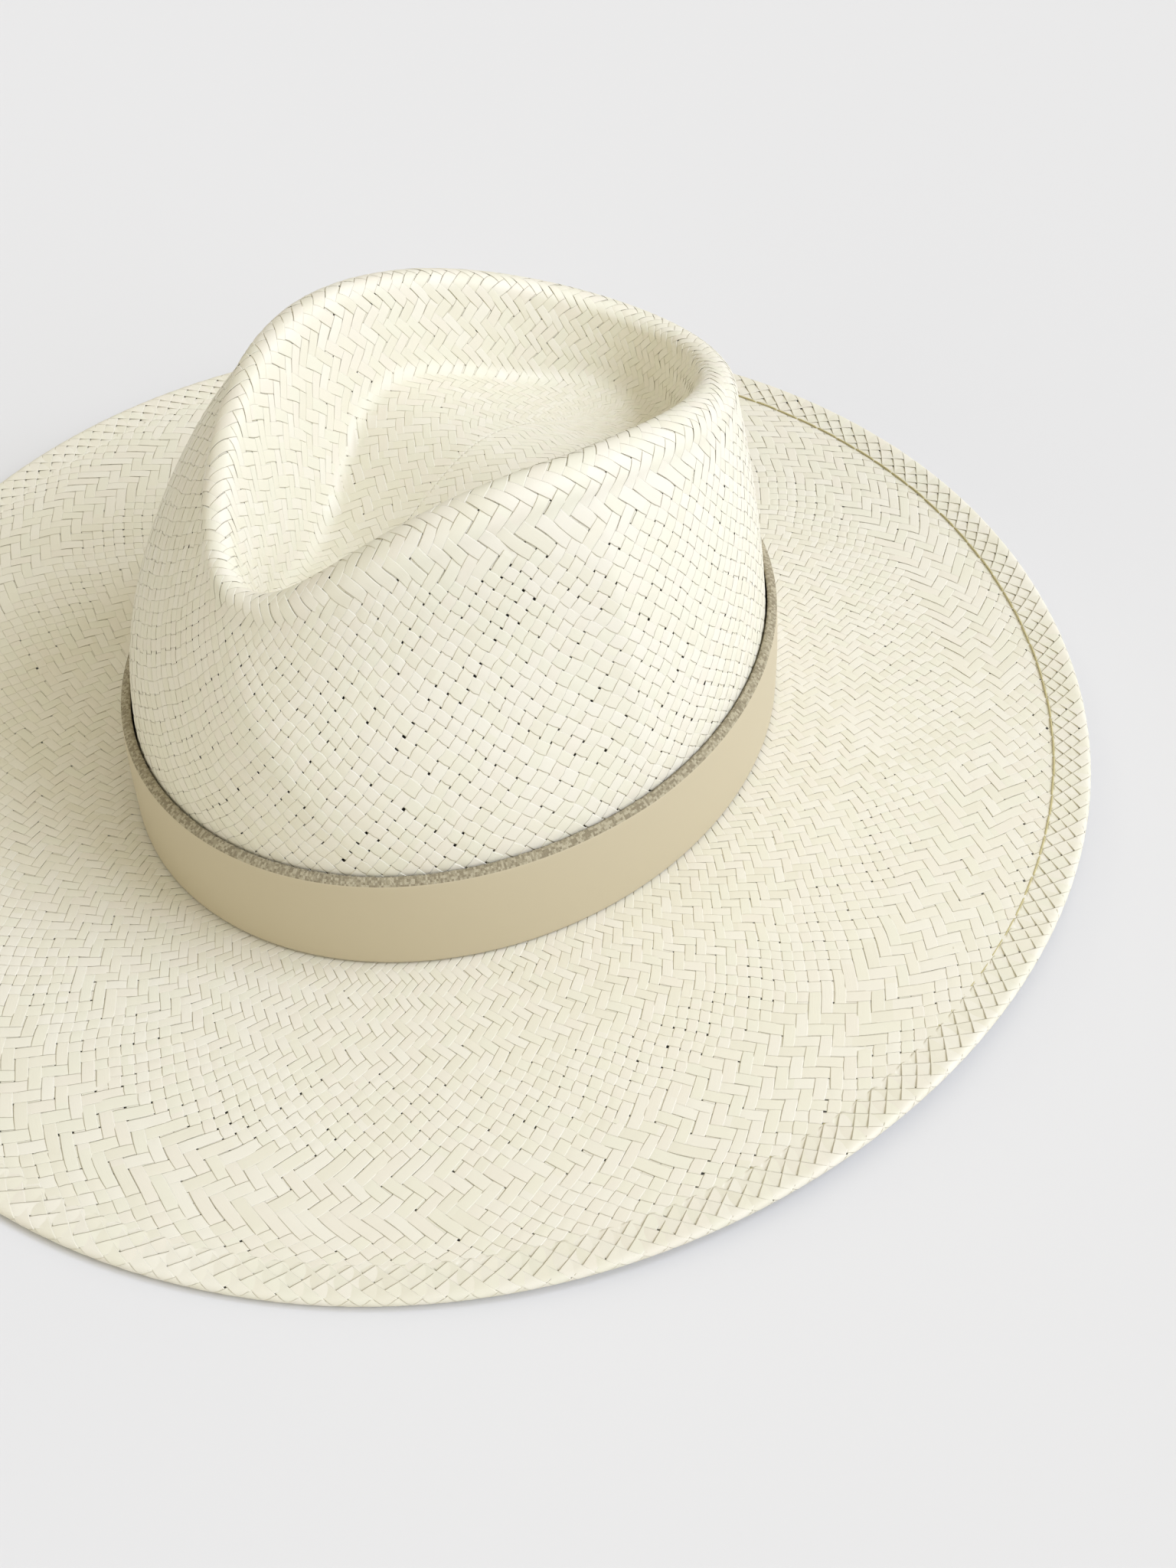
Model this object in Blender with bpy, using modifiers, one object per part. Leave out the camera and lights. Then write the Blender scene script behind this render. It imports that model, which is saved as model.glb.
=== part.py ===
"""Panama hat: woven straw crown and brim, folded brim edge, leather band and inner sweatband.

Frame: metres, +Z up, front of the hat at -Y, origin on the surface that the brim rests on,
under the middle of the brim. The shapes are worked out round the middle of the head
opening, with angles from +X towards the back, and moved by HEAD_SHIFT as they are made.
"""
import math

import bmesh
import bpy
import numpy as np

# Head opening, as the outer face of the straw at the foot of the crown
HEAD_HALF_WIDTH = 0.0862
HEAD_HALF_LENGTH = 0.1005
FOOT_HEIGHT = 0.0052          # top of the brim at the foot of the crown, mean
FOOT_TILT = 0.0022            # the foot is lower in front and higher at the back

# Straw
STRAW = 0.0012                # thickness of the woven straw
GAP = 0.0003                  # clearance between pieces that touch

# Crest of the crown: the teardrop ridge round the dented top
CREST_FRONT = -0.0728
CREST_BACK = 0.0910
CREST_HALF_WIDTH = 0.0500
CREST_WIDER_BACK = 0.0050
CREST_PINCH = -0.0046
CREST_HEIGHT = 0.1378
FRONT_DROP, FRONT_DROP_POWER = 0.0374, 4.64
BACK_DROP, BACK_DROP_POWER = 0.0433, 2.0
CREST_RADIUS = 0.0085         # rounding over the ridge
TIGHTER_BY = 0.0042           # less than that at the front tip
TIGHT_ANGLE, TIGHT_SPREAD = math.radians(246.0), 0.70
LEFT_FULLER = 1.5             # the left wall leans in later: added to its lean power
FULL_ANGLE, FULL_SPREAD = math.radians(195.0), 1.0
WALL_LEAN_POWER = 1.94        # how late the side wall leans in to the crest

# Side pinches and the dent in the top
PINCH_DEPTH = 0.0074
PINCH_LEFT = 0.35                    # the left one is this much of it
PINCH_KEEL = math.radians(-90.0)     # the dent starts at this angle at the top
PINCH_SLANT = math.radians(50.0)     # and turns back by this much down to the foot
PINCH_END = math.radians(-7.0)
PINCH_POWER = 1.35                   # over 1 puts the deepest place nearer the end
PINCH_LEVEL, PINCH_SPREAD_BELOW, PINCH_SPREAD_ABOVE = 0.76, 0.29, 0.23
FLOOR_HEIGHT = 0.0975         # dent floor at its highest place
FLOOR_TOP = 0.0130            # where along the hat that is
FRONT_FALL, FRONT_REACH = 0.0170, 0.0500     # how far it falls, over which length
BACK_FALL, BACK_REACH = 0.0200, 0.0600
DENT_EDGE = 0.0045            # rounding from the ridge into the dent
DENT_FILLET = 0.0050
DENT_WALL_ANGLE = math.radians(69.0)
SPINE_FRONT, SPINE_BACK = -0.0450, 0.0520

# Brim
BRIM_WIDTH = 0.1009           # from the foot of the crown to the rim, mean
BRIM_SHORTER_BACK = 0.0046
BRIM_WIDER_SIDE = 0.0020
SIDE_LIFT = 0.0060            # the rim lifts off the table at the sides
LIFT_START = 0.5              # cosine of the angle at which the lift begins
BRIM_INNER_STEP = 0.0010      # the brim runs this far in under the crown wall
HEAD_SHIFT = BRIM_SHORTER_BACK   # the head opening sits this far behind the brim's middle

# Folded edge
RIM_HEIGHT = 0.0034
HEM_LEAF = 0.0008
HEM_WIDTH = 0.0112
HEM_NOSE = 0.0013             # radius round the rim, on the fold's middle layer
BRIM_IN_HEM = 0.0052          # the brim sheet stops this far inside the rim
WIRE_RADIUS = 0.0006
WIRE_INSET = 0.0030
THREAD_RADIUS = 0.0003

# Leather band
BAND_HEIGHT = 0.0306
BAND_THICKNESS = 0.0022
BAND_CLEARANCE = 0.0009
BAND_LAP_ANGLE = math.radians(104.0)
BAND_LAP = math.radians(14.0)
BAND_LIFT_GAP = 0.0004

# Sweatband
SWEATBAND_HEIGHT = 0.0340
SWEATBAND_THICKNESS = 0.0009
SWEATBAND_CLEARANCE = 0.0005
SWEATBAND_FOOT = 0.0010       # it hangs this far below the brim's top face
REED_RADIUS = 0.0008
PIPING_THICKNESS = 0.0005
REED_HEIGHT = 0.0018          # over the brim's top face
SEAM_HEIGHT = 0.0046

# Bow and tab inside the sweatband
BOW_HEIGHT, BOW_HALF_TURN = 0.0150, 0.15
BOW_KNOT, BOW_FLARE = 0.0024, 0.0032
BOW_THICKNESS = 0.0014
TAB_ANGLE, TAB_TURN = math.radians(150.0), 0.16
TAB_LOW, TAB_RISE = 0.0100, 0.0140
TAB_THICKNESS = 0.0006

# Mesh steps
AROUND = 60
FULL_TURN = 2.0 * math.pi


# ---- shapes of the hat ----------------------------------------------------------------

def oval(angle, offset=0.0):
    """Point of the head oval, moved out along its normal."""
    c, s = math.cos(angle), math.sin(angle)
    nx, ny = HEAD_HALF_LENGTH * c, HEAD_HALF_WIDTH * s
    length = math.hypot(nx, ny)
    return (HEAD_HALF_WIDTH * c + offset * nx / length,
            HEAD_HALF_LENGTH * s + offset * ny / length)


def foot_height(angle):
    """Height of the brim's top face at the foot of the crown."""
    return FOOT_HEIGHT + FOOT_TILT * math.sin(angle)


def edge_lift(angle):
    """How far the rim stands off the table."""
    beyond = max(0.0, (abs(math.cos(angle)) - LIFT_START) / (1.0 - LIFT_START))
    return SIDE_LIFT * beyond ** 2


def brim_width(angle):
    return (BRIM_WIDTH - BRIM_SHORTER_BACK * math.sin(angle)
            + BRIM_WIDER_SIDE * math.cos(2.0 * angle))


def crest_point(angle):
    """Ridge of the crown: (x, y, z)."""
    c, s = math.cos(angle), math.sin(angle)
    half_width = CREST_HALF_WIDTH + CREST_WIDER_BACK * s + CREST_PINCH * s * s
    middle, half_length = (CREST_FRONT + CREST_BACK) / 2.0, (CREST_BACK - CREST_FRONT) / 2.0
    height = (CREST_HEIGHT - FRONT_DROP * ((1.0 - s) / 2.0) ** FRONT_DROP_POWER
              - BACK_DROP * ((1.0 + s) / 2.0) ** BACK_DROP_POWER)
    return np.array([c * half_width, middle + half_length * s, height])


def crest_normal(angle):
    """Outward plan normal of the ridge."""
    step = 0.001
    along = crest_point(angle + step) - crest_point(angle - step)
    return np.array([along[1], -along[0], 0.0]) / math.hypot(along[0], along[1])


def nearness(angle, middle, spread):
    """1 at an angle, falling off on both sides of it."""
    turn = (angle - middle + math.pi) % FULL_TURN - math.pi
    return 1.0 / (1.0 + (turn / spread) ** 4)


def crest_radius(angle):
    """Rounding from the side wall to the ridge, tighter at the front tip."""
    return CREST_RADIUS - TIGHTER_BY * nearness(angle, TIGHT_ANGLE, TIGHT_SPREAD)


def pinch(angle, level):
    """Depth of the finger dents at the front of the side walls."""
    front = PINCH_KEEL + PINCH_SLANT * (1.0 - level)
    deepest = PINCH_POWER / (PINCH_POWER + 1.0)
    peak = deepest ** PINCH_POWER * (1.0 - deepest)
    depth = 0.0
    for side, part in ((angle, 1.0), (math.pi - angle, PINCH_LEFT)):
        turn = (side + math.pi) % FULL_TURN - math.pi
        share = min(1.0, max(0.0, (turn - front) / (PINCH_END - front)))
        depth += part * PINCH_DEPTH * share ** PINCH_POWER * (1.0 - share) / peak
    spread = PINCH_SPREAD_ABOVE if level > PINCH_LEVEL else PINCH_SPREAD_BELOW
    return depth * math.exp(-((level - PINCH_LEVEL) / spread) ** 2)


def wall_point(angle, level):
    """Outer face of the side wall; level runs from the foot (0) to the shoulder (1)."""
    normal, radius = crest_normal(angle), crest_radius(angle)
    shoulder = crest_point(angle) + radius * normal
    shoulder[2] -= radius
    x, y = oval(angle)
    foot = np.array([x, y, foot_height(angle) + GAP])
    lean = level ** (WALL_LEAN_POWER + LEFT_FULLER * nearness(angle, FULL_ANGLE, FULL_SPREAD))
    point = foot + (shoulder - foot) * np.array([lean, lean, level])
    return point - normal * pinch(angle, level)


def wall_at(angle, height, offset=0.0):
    """Outer face of the side wall at a height over the foot, moved out along the oval."""
    rise = crest_point(angle)[2] - crest_radius(angle) - foot_height(angle) - GAP
    point = wall_point(angle, max(0.0, height) / rise)
    outward = np.array(oval(angle, 1.0)) - np.array(oval(angle))
    point[:2] += outward * offset
    point[2] = foot_height(angle) + height
    return point


def dent_profile(run, depth):
    """Drop below the ridge at a distance inside it: arc, straight wall, arc, floor."""
    sine, cosine = math.sin(DENT_WALL_ANGLE), math.cos(DENT_WALL_ANGLE)
    arcs = (DENT_EDGE + DENT_FILLET) * (1.0 - cosine)
    scale = min(1.0, depth / arcs)
    top, fillet = DENT_EDGE * scale, DENT_FILLET * scale
    straight = max(0.0, depth - arcs) / sine
    first, second = top * sine, top * sine + straight * cosine
    last = second + fillet * sine
    if run < first:
        return top - math.sqrt(top * top - run * run)
    if run < second:
        return top * (1.0 - cosine) + (run - first) * math.tan(DENT_WALL_ANGLE)
    if run < last:
        left = last - run
        return depth - (fillet - math.sqrt(fillet * fillet - left * left))
    return depth


def floor_height(y):
    """Height of the dent's floor, falling from its middle to the front and to the back."""
    front = min(1.0, max(0.0, (FLOOR_TOP - y) / FRONT_REACH))
    back = min(1.0, max(0.0, (y - FLOOR_TOP) / BACK_REACH))
    return (FLOOR_HEIGHT - FRONT_FALL * front * front * (3.0 - 2.0 * front)
            - BACK_FALL * back * back * (3.0 - 2.0 * back))


def dent_point(angle, share):
    """Dented top; share runs from the ridge (0) to the spine along the middle (1)."""
    ridge = crest_point(angle) - crest_normal(angle) * pinch(angle, 1.0)
    middle, half_length = (SPINE_FRONT + SPINE_BACK) / 2.0, (SPINE_BACK - SPINE_FRONT) / 2.0
    spine = np.array([0.0, middle + half_length * math.sin(angle), ridge[2]])
    point = ridge + (spine - ridge) * share
    run = share * math.hypot(*(spine - ridge)[:2])
    point[2] -= dent_profile(run, ridge[2] - floor_height(point[1]))
    return point


def shoulder_point(angle, turn):
    """Rounding from the side wall (0) over to the ridge (quarter turn)."""
    point = wall_point(angle, 1.0)
    radius = crest_radius(angle)
    point -= crest_normal(angle) * radius * (1.0 - math.cos(turn))
    point[2] += radius * math.sin(turn)
    return point


def brim_point(angle, share):
    """Top face of the brim sheet; share runs from under the crown (0) to its edge (1)."""
    start = -BRIM_INNER_STEP
    end = brim_width(angle) - BRIM_IN_HEM
    x, y = oval(angle, start + (end - start) * share)
    inner = foot_height(angle)
    outer = edge_lift(angle) + HEM_LEAF + GAP + STRAW
    return np.array([x, y, outer + (inner - outer) * (1.0 - share) ** 2])


# ---- mesh tools -----------------------------------------------------------------------

def material(name, colour, roughness, metallic=0.0):
    made = bpy.data.materials.new(name)
    made.use_nodes = True
    shader = made.node_tree.nodes["Principled BSDF"]
    shader.inputs["Base Color"].default_value = (*colour, 1.0)
    shader.inputs["Roughness"].default_value = roughness
    shader.inputs["Metallic"].default_value = metallic
    return made


def placed(point):
    """From the head opening's middle to the hat's frame."""
    return (point[0], point[1] + HEAD_SHIFT, point[2])


def add_mesh(name, rows, made_of, closed=True, thickness=0.0, side=-1.0):
    """Grid of points (rows of equal length) as one sheet, thickened by Solidify."""
    count = len(rows[0])
    mesh = bpy.data.meshes.new(name)
    grid = bmesh.new()
    verts = [[grid.verts.new(placed(point)) for point in row] for row in rows]
    last = count if closed else count - 1
    for lower, upper in zip(verts, verts[1:]):
        for i in range(last):
            j = (i + 1) % count
            grid.faces.new((lower[i], lower[j], upper[j], upper[i]))
    bmesh.ops.remove_doubles(grid, verts=grid.verts, dist=0.00001)
    grid.to_mesh(mesh)
    grid.free()
    mesh.shade_smooth()
    piece = bpy.data.objects.new(name, mesh)
    PARTS.objects.link(piece)
    mesh.materials.append(made_of)
    shell = piece.modifiers.new("thickness", "SOLIDIFY")
    shell.thickness = thickness
    shell.offset = side
    shell.use_even_offset = True
    return piece


def add_tube(name, points, radius, made_of, cyclic=True, sides=0):
    """Thread, wire or reed along a line of points; sides 0 is square, 1 is rounder."""
    curve = bpy.data.curves.new(name, "CURVE")
    curve.dimensions = "3D"
    spline = curve.splines.new("POLY")
    spline.points.add(len(points) - 1)
    for slot, point in zip(spline.points, points):
        slot.co = (*placed(point), 1.0)
    spline.use_cyclic_u = cyclic
    curve.bevel_depth = radius
    curve.bevel_resolution = sides
    curve.use_fill_caps = not cyclic
    curve.materials.append(made_of)
    piece = bpy.data.objects.new(name, curve)
    PARTS.objects.link(piece)
    return piece


def turns():
    return [FULL_TURN * i / AROUND for i in range(AROUND)]


# ---- the pieces -----------------------------------------------------------------------

def make_crown(straw):
    levels = [i / 8 for i in range(9)]
    over = [math.radians(a) for a in (30.0, 60.0)]
    shares = [0.0, 0.06, 0.11, 0.19, 0.28, 0.37, 0.55, 0.78, 1.0]
    rows = [[wall_point(angle, level) for angle in turns()] for level in levels]
    rows += [[shoulder_point(angle, turn) for angle in turns()] for turn in over]
    rows += [[dent_point(angle, share) for angle in turns()] for share in shares]
    return add_mesh("crown", rows, straw, thickness=STRAW)


def make_brim(straw):
    shares = [0.0, 0.25, 0.6, 1.0]
    rows = [[brim_point(angle, share) for angle in turns()] for share in reversed(shares)]
    return add_mesh("brim", rows, straw, thickness=STRAW)


def hem_section(angle):
    """Fold of straw round the rim, as (inset from the rim, height) on its middle layer."""
    lift = edge_lift(angle)
    low, high = lift + HEM_LEAF / 2.0, lift + RIM_HEIGHT - HEM_LEAF / 2.0
    middle, radius = (low + high) / 2.0, (high - low) / 2.0
    inset = HEM_LEAF / 2.0 + HEM_NOSE
    section = [(HEM_WIDTH, low), (inset, low)]
    for turn in (-45.0, 0.0, 45.0):
        around = math.radians(turn)
        section.append((inset - HEM_NOSE * math.cos(around), middle + radius * math.sin(around)))
    section += [(inset, high), (HEM_WIDTH, high)]
    return section


def make_hem(straw):
    sections = [hem_section(angle) for angle in turns()]
    rows = []
    for step in range(len(sections[0])):
        rows.append([(*oval(angle, brim_width(angle) - section[step][0]), section[step][1])
                     for angle, section in zip(turns(), sections)])
    return add_mesh("brim_edge_hem", rows, straw, thickness=HEM_LEAF, side=0.0)


def make_edge_wire(steel):
    points = [(*oval(a, brim_width(a) - WIRE_INSET), edge_lift(a) + RIM_HEIGHT / 2.0)
              for a in turns()]
    return add_tube("brim_edge_wire", points, WIRE_RADIUS, steel, sides=1)


def make_hem_stitching(thread):
    inset = HEM_WIDTH + GAP + 2.0 * THREAD_RADIUS
    points = []
    for a in turns():
        width = brim_width(a)
        share = (width - inset + BRIM_INNER_STEP) / (width - BRIM_IN_HEM + BRIM_INNER_STEP)
        top = brim_point(a, share)
        points.append((top[0], top[1], top[2] + GAP + THREAD_RADIUS))
    return add_tube("hem_stitching", points, THREAD_RADIUS, thread)


def band_step(share):
    """How far the band's far end stands out over its near end."""
    lap_share = BAND_LAP / (FULL_TURN + BAND_LAP)
    ramp = (share - (1.0 - 2.0 * lap_share)) / lap_share
    ramp = min(1.0, max(0.0, ramp))
    return (BAND_THICKNESS + GAP) * ramp * ramp * (3.0 - 2.0 * ramp)


def make_hat_band(leather):
    count = AROUND + 4
    rows = []
    for up in (0.0, 0.5, 1.0):
        row = []
        for i in range(count):
            share = i / (count - 1)
            angle = BAND_LAP_ANGLE + (FULL_TURN + BAND_LAP) * share
            out = BAND_CLEARANCE + BAND_THICKNESS + band_step(share)
            row.append(wall_at(angle, BAND_LIFT_GAP + BAND_HEIGHT * up, out))
        rows.append(row)
    return add_mesh("hat_band", rows, leather, closed=False, thickness=BAND_THICKNESS)


def make_lap_stitching(thread):
    """Thread down the lapped end of the band, proud of its outer face."""
    angle = BAND_LAP_ANGLE + BAND_LAP * 0.7
    out = BAND_CLEARANCE + 2.0 * BAND_THICKNESS + 3.0 * GAP + THREAD_RADIUS
    points = [wall_at(angle, BAND_LIFT_GAP + BAND_HEIGHT * (0.1 + 0.1 * i), out)
              for i in range(9)]
    return add_tube("band_lap_stitching", points, THREAD_RADIUS, thread, cyclic=False)


def inner_point(angle, height, clearance):
    """Point inside the crown wall, clear of its inner face."""
    return wall_at(angle, height, -STRAW - clearance)


def make_sweatband(leather):
    rows = []
    for up in (0.0, 0.25, 0.6, 1.0):
        height = SWEATBAND_HEIGHT * up - SWEATBAND_FOOT
        rows.append([inner_point(a, height, SWEATBAND_CLEARANCE) for a in turns()])
    return add_mesh("sweatband", rows, leather, thickness=SWEATBAND_THICKNESS)


def reed_line(inward):
    depth = SWEATBAND_CLEARANCE + SWEATBAND_THICKNESS + inward
    return [inner_point(a, REED_HEIGHT, depth) for a in turns()]


def make_reed(plastic):
    return add_tube("sweatband_reed", reed_line(PIPING_THICKNESS + 2.0 * GAP + REED_RADIUS),
                    REED_RADIUS, plastic, sides=1)


def make_reed_cover(cloth):
    """Ribbon folded round the reed, open at its top edge."""
    centre = PIPING_THICKNESS + 2.0 * GAP + REED_RADIUS
    radius = REED_RADIUS + GAP
    rows = []
    for turn in (170.0, 220.0, 270.0, 320.0, 370.0):
        around = math.radians(turn)
        depth = SWEATBAND_CLEARANCE + SWEATBAND_THICKNESS + centre - radius * math.cos(around)
        row = [inner_point(a, REED_HEIGHT, depth) + np.array([0, 0, radius * math.sin(around)])
               for a in turns()]
        rows.append(row)
    return add_mesh("reed_cover", rows, cloth, thickness=PIPING_THICKNESS, side=1.0)


def make_sweatband_stitching(thread):
    inward = GAP + THREAD_RADIUS
    depth = SWEATBAND_CLEARANCE + SWEATBAND_THICKNESS + inward
    points = [inner_point(a, SEAM_HEIGHT, depth) for a in turns()]
    return add_tube("sweatband_stitching", points, THREAD_RADIUS, thread)


def make_bow(ribbon):
    """Small flat bow at the back of the sweatband, as one pinched strip."""
    depth = SWEATBAND_CLEARANCE + SWEATBAND_THICKNESS + GAP
    rows = []
    for step in (-1, 0, 1):
        row = []
        for i in range(13):
            across = i / 6.0 - 1.0
            half_height = BOW_KNOT + BOW_FLARE * abs(across) ** 0.7
            angle = math.pi / 2.0 + across * BOW_HALF_TURN
            row.append(inner_point(angle, BOW_HEIGHT + half_height * step, depth))
        rows.append(row)
    return add_mesh("sweatband_bow", rows, ribbon, closed=False, thickness=BOW_THICKNESS)


def make_size_tab(ribbon):
    """Blank folded tab hanging inside the sweatband."""
    depth = SWEATBAND_CLEARANCE + SWEATBAND_THICKNESS + GAP
    rows = []
    for up in (0.0, 0.5, 1.0):
        height = TAB_LOW + TAB_RISE * up
        row = [inner_point(TAB_ANGLE + TAB_TURN * (i / 4.0 - 0.5), height, depth)
               for i in range(5)]
        rows.append(row)
    return add_mesh("size_tab", rows, ribbon, closed=False, thickness=TAB_THICKNESS)


def main():
    straw = material("straw", (0.82, 0.78, 0.65), 0.62)
    brim_straw = material("brim_straw", (0.80, 0.76, 0.62), 0.62)
    hem_straw = material("hem_straw", (0.77, 0.72, 0.57), 0.60)
    thread = material("thread", (0.42, 0.37, 0.20), 0.80)
    steel = material("steel_wire", (0.60, 0.60, 0.60), 0.30, 1.0)
    leather = material("beige_leather", (0.56, 0.47, 0.31), 0.50)
    lining = material("sweatband_leather", (0.62, 0.52, 0.36), 0.55)
    ribbon = material("ribbon", (0.70, 0.64, 0.48), 0.75)
    plastic = material("reed_plastic", (0.75, 0.74, 0.70), 0.40)
    make_crown(straw)
    make_brim(brim_straw)
    make_hem(hem_straw)
    make_edge_wire(steel)
    make_hem_stitching(thread)
    make_hat_band(leather)
    make_lap_stitching(thread)
    make_sweatband(lining)
    make_reed(plastic)
    make_reed_cover(ribbon)
    make_sweatband_stitching(thread)
    make_bow(ribbon)
    make_size_tab(ribbon)


for old in list(bpy.data.objects):
    bpy.data.objects.remove(old)
PARTS = bpy.data.collections.new("panama_hat")
bpy.context.scene.collection.children.link(PARTS)
main()
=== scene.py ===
"""Looks of the panama hat: woven straw strands, leather band, sweatband, studio light.

The CAD part is the frame. Its shapes are worked out again here, so that the strands, the
leather and the thread lie on them. Front of the hat at -Y, +Z up, metres.
"""
import math

import bpy
import numpy as np
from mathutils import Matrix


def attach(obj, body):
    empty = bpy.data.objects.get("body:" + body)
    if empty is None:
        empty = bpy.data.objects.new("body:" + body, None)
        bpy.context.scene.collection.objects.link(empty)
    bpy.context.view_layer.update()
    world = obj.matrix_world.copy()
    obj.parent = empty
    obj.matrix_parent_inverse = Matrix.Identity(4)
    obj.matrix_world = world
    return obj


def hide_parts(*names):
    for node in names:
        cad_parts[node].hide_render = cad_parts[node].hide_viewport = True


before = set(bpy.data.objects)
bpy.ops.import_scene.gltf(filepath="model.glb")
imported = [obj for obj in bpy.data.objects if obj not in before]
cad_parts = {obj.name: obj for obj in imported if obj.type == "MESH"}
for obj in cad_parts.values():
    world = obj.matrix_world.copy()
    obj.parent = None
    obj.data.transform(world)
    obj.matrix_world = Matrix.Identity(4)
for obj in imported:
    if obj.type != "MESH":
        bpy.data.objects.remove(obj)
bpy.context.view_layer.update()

MM = 0.001
TURN = 2.0 * math.pi
RANDOM = np.random.default_rng(7)

# ---- sizes of the hat, the same as the CAD part's ---------------------------------------

HEAD_HALF_WIDTH, HEAD_HALF_LENGTH = 0.0862, 0.1005
FOOT_HEIGHT, FOOT_TILT = 0.0052, 0.0022
STRAW, GAP = 0.0012, 0.0003
CREST_FRONT, CREST_BACK = -0.0728, 0.0910
CREST_HALF_WIDTH, CREST_WIDER_BACK, CREST_PINCH = 0.0500, 0.0050, -0.0046
CREST_HEIGHT = 0.1378
FRONT_DROP, FRONT_DROP_POWER = 0.0374, 4.64
BACK_DROP, BACK_DROP_POWER = 0.0433, 2.0
CREST_RADIUS, TIGHTER_BY = 0.0085, 0.0042
TIGHT_ANGLE, TIGHT_SPREAD = math.radians(246.0), 0.70
LEFT_FULLER, FULL_ANGLE, FULL_SPREAD = 1.5, math.radians(195.0), 1.0
WALL_LEAN_POWER = 1.94
PINCH_DEPTH, PINCH_LEFT, PINCH_POWER = 0.0074, 0.35, 1.35
PINCH_KEEL, PINCH_SLANT = math.radians(-90.0), math.radians(50.0)
PINCH_END = math.radians(-7.0)
PINCH_LEVEL, PINCH_SPREAD_BELOW, PINCH_SPREAD_ABOVE = 0.76, 0.29, 0.23
FLOOR_HEIGHT, FLOOR_TOP = 0.0975, 0.0130
FRONT_FALL, FRONT_REACH = 0.0170, 0.0500
BACK_FALL, BACK_REACH = 0.0200, 0.0600
DENT_EDGE, DENT_FILLET, DENT_WALL_ANGLE = 0.0045, 0.0050, math.radians(69.0)
SPINE_FRONT, SPINE_BACK = -0.0450, 0.0520
BRIM_WIDTH, BRIM_SHORTER_BACK, BRIM_WIDER_SIDE = 0.1009, 0.0046, 0.0020
SIDE_LIFT, LIFT_START = 0.0060, 0.5
BRIM_INNER_STEP = 0.0010
HEAD_SHIFT = BRIM_SHORTER_BACK
RIM_HEIGHT, HEM_LEAF, HEM_WIDTH = 0.0034, 0.0008, 0.0112
BRIM_IN_HEM = 0.0052
BAND_HEIGHT, BAND_THICKNESS, BAND_CLEARANCE = 0.0306, 0.0022, 0.0009
BAND_LAP_ANGLE, BAND_LAP = math.radians(104.0), math.radians(14.0)
BAND_LIFT_GAP, BAND_EDGE_GAP = 0.0004, 0.00025
SWEATBAND_HEIGHT, SWEATBAND_THICKNESS = 0.0340, 0.0009
SWEATBAND_CLEARANCE, SWEATBAND_FOOT = 0.0005, 0.0010
REED_RADIUS, PIPING_THICKNESS, REED_HEIGHT, SEAM_HEIGHT = 0.0008, 0.0005, 0.0018, 0.0046

# ---- the weave ----------------------------------------------------------------------------

CROWN_STRANDS, CROWN_ROWS = 112, 80
CALM_ANGLE = math.radians(205.0)  # the dent's wall on this side is smooth
BRIM_STRANDS, HEM_ROWS = 204, 9
HEIGHT_OF_WAVE = 0.095 * MM       # how far a strand goes over and under
STEPS = 4                         # points along a strand per crossing
HEM_SLACK, HEM_INSET = 0.2 * MM, 0.3 * MM   # the woven fold is this much tighter than the CAD's
STRAND_LAYER = 0.45 * MM          # the middle of the weave lies this far under the CAD face
TOP_OF_STRAND = ((-1.0, -0.022), (-0.84, -0.004), (0.0, 0.008), (0.84, -0.004), (1.0, -0.022))
BACK_OF_STRAND = ((0.92, -0.10), (-0.92, -0.10))
PROFILE = TOP_OF_STRAND + BACK_OF_STRAND      # half widths across, millimetres up
BACK_LIMIT = -0.05                # profile points lower than this are the strand's back
STRAND_HALF_WIDTH, ROW_LENGTH = 1.6 * MM, 3.0 * MM      # for the texture along a strand
WANDER = 0.05                     # how far a strand strays sideways, in pitches
UNEVEN_WIDTH, UNEVEN_HEIGHT, UNEVEN_HOLES = 0.02, 0.22, 0.5
HOLE_RANGE = (0.45, 1.6)
DRIFT_FADE_ROWS = 4.0             # the lattice drifts less within this many rows of an edge
START_ROWS, END_ROWS = 3.4, 1.2   # the dips at a strand's ends reach over these rows


# ---- shapes, for arrays of angles ---------------------------------------------------------

def eased(way):
    """0 to 1, with a slow start and a slow end."""
    way = np.clip(way, 0.0, 1.0)
    return way * way * (3.0 - 2.0 * way)


def stack(x, y, z):
    return np.stack(np.broadcast_arrays(x, y, z), axis=-1).astype(float)


def oval(angle, offset=0.0):
    """Head opening, moved out by an offset."""
    c, s = np.cos(angle), np.sin(angle)
    nx, ny = HEAD_HALF_LENGTH * c, HEAD_HALF_WIDTH * s
    length = np.hypot(nx, ny)
    return (HEAD_HALF_WIDTH * c + offset * nx / length,
            HEAD_HALF_LENGTH * s + offset * ny / length)


def foot_height(angle):
    return FOOT_HEIGHT + FOOT_TILT * np.sin(angle)


def edge_lift(angle):
    """How far the rim curls up at the two sides."""
    beyond = np.maximum(0.0, (np.abs(np.cos(angle)) - LIFT_START) / (1.0 - LIFT_START))
    return SIDE_LIFT * beyond ** 2


def brim_width(angle):
    return (BRIM_WIDTH - BRIM_SHORTER_BACK * np.sin(angle)
            + BRIM_WIDER_SIDE * np.cos(2.0 * angle))


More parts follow.
